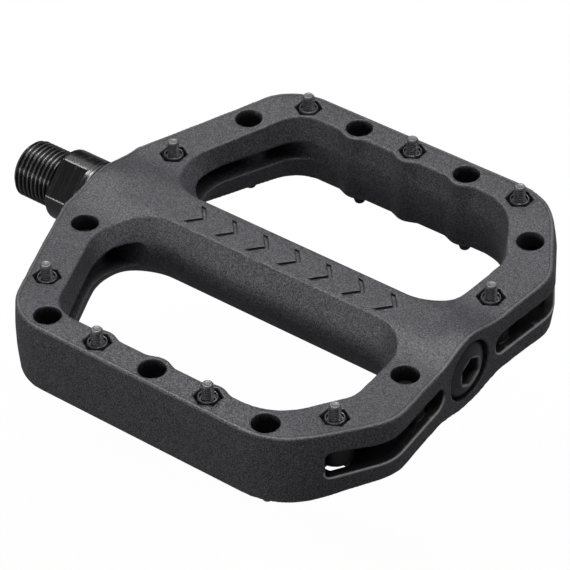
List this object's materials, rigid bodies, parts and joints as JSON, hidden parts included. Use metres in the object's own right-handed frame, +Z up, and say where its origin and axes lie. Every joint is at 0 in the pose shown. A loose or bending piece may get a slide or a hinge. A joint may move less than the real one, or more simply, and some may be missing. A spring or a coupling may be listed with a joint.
{
  "type": "flat pedal",
  "caption": "Flat bicycle pedal: open moulded platform on a steel spindle with threaded end, hexagon-nutted traction pins on both faces and a screwed end cap.",
  "frame": {"origin": "spindle axis at the shoulder face that seats on the crank arm", "axes": "+X along the spindle away from the crank arm, +Y forward (leading rail of a right-hand pedal), +Z up"},
  "size_m": [0.1298, 0.1076, 0.0256],
  "materials": {
    "moulded_nylon": "fine-grained moulded glass-filled nylon, matte",
    "black_oxide_steel": "black oxide, satin to glossy",
    "end_cap_black": "black, semi-gloss",
    "pin_steel": "zinc-black screw steel with brighter tips",
    "nut_steel": "blackened steel, bright turned chamfer",
    "bearing_steel": "ground and polished",
    "plated_steel": "zinc plated",
    "bushing_bronze": "sintered bronze",
    "cage_polymer": "natural polyamide",
    "seal_rubber": "nitrile rubber"
  },
  "bodies": {
    "spindle": {"spindle": "black_oxide_steel", "bearing_inner_race": "bearing_steel", "washer": "plated_steel", "lock_nut": "plated_steel"},
    "platform": {"platform_body": "moulded_nylon", "crank_bushing": "bushing_bronze", "dust_seal": "seal_rubber", "bearing_outer_race": "bearing_steel", "bearing_shield_inboard": "seal_rubber", "bearing_shield_outboard": "seal_rubber", "end_cap": "end_cap_black", "cap_o_ring": "seal_rubber", "pins_top_front": "pin_steel", "pins_top_rear": "pin_steel", "pins_top_crank": "pin_steel", "pins_top_outer": "pin_steel", "pins_bottom_front": "pin_steel", "pins_bottom_rear": "pin_steel", "pins_bottom_crank": "pin_steel", "pins_bottom_outer": "pin_steel", "nuts_top_front": "nut_steel", "nuts_top_rear": "nut_steel", "nuts_top_crank": "nut_steel", "nuts_top_outer": "nut_steel", "nuts_bottom_front": "nut_steel", "nuts_bottom_rear": "nut_steel", "nuts_bottom_crank": "nut_steel", "nuts_bottom_outer": "nut_steel"},
    "ball_set": {"bearing_cage": "cage_polymer", "bearing_balls": "bearing_steel"}
  },
  "joints": [
    {"name": "platform_spin", "type": "hinge", "parent": "spindle", "child": "platform", "pos_m": [0, 0, 0], "axis": [1, 0, 0], "continuous": true},
    {"name": "ball_set_spin", "type": "hinge", "parent": "spindle", "child": "ball_set", "pos_m": [0, 0, 0], "axis": [1, 0, 0], "continuous": true}
  ],
  "couplings": [
    {"joint": "ball_set_spin", "follows": "platform_spin", "ratio": 0.6134}
  ]
}
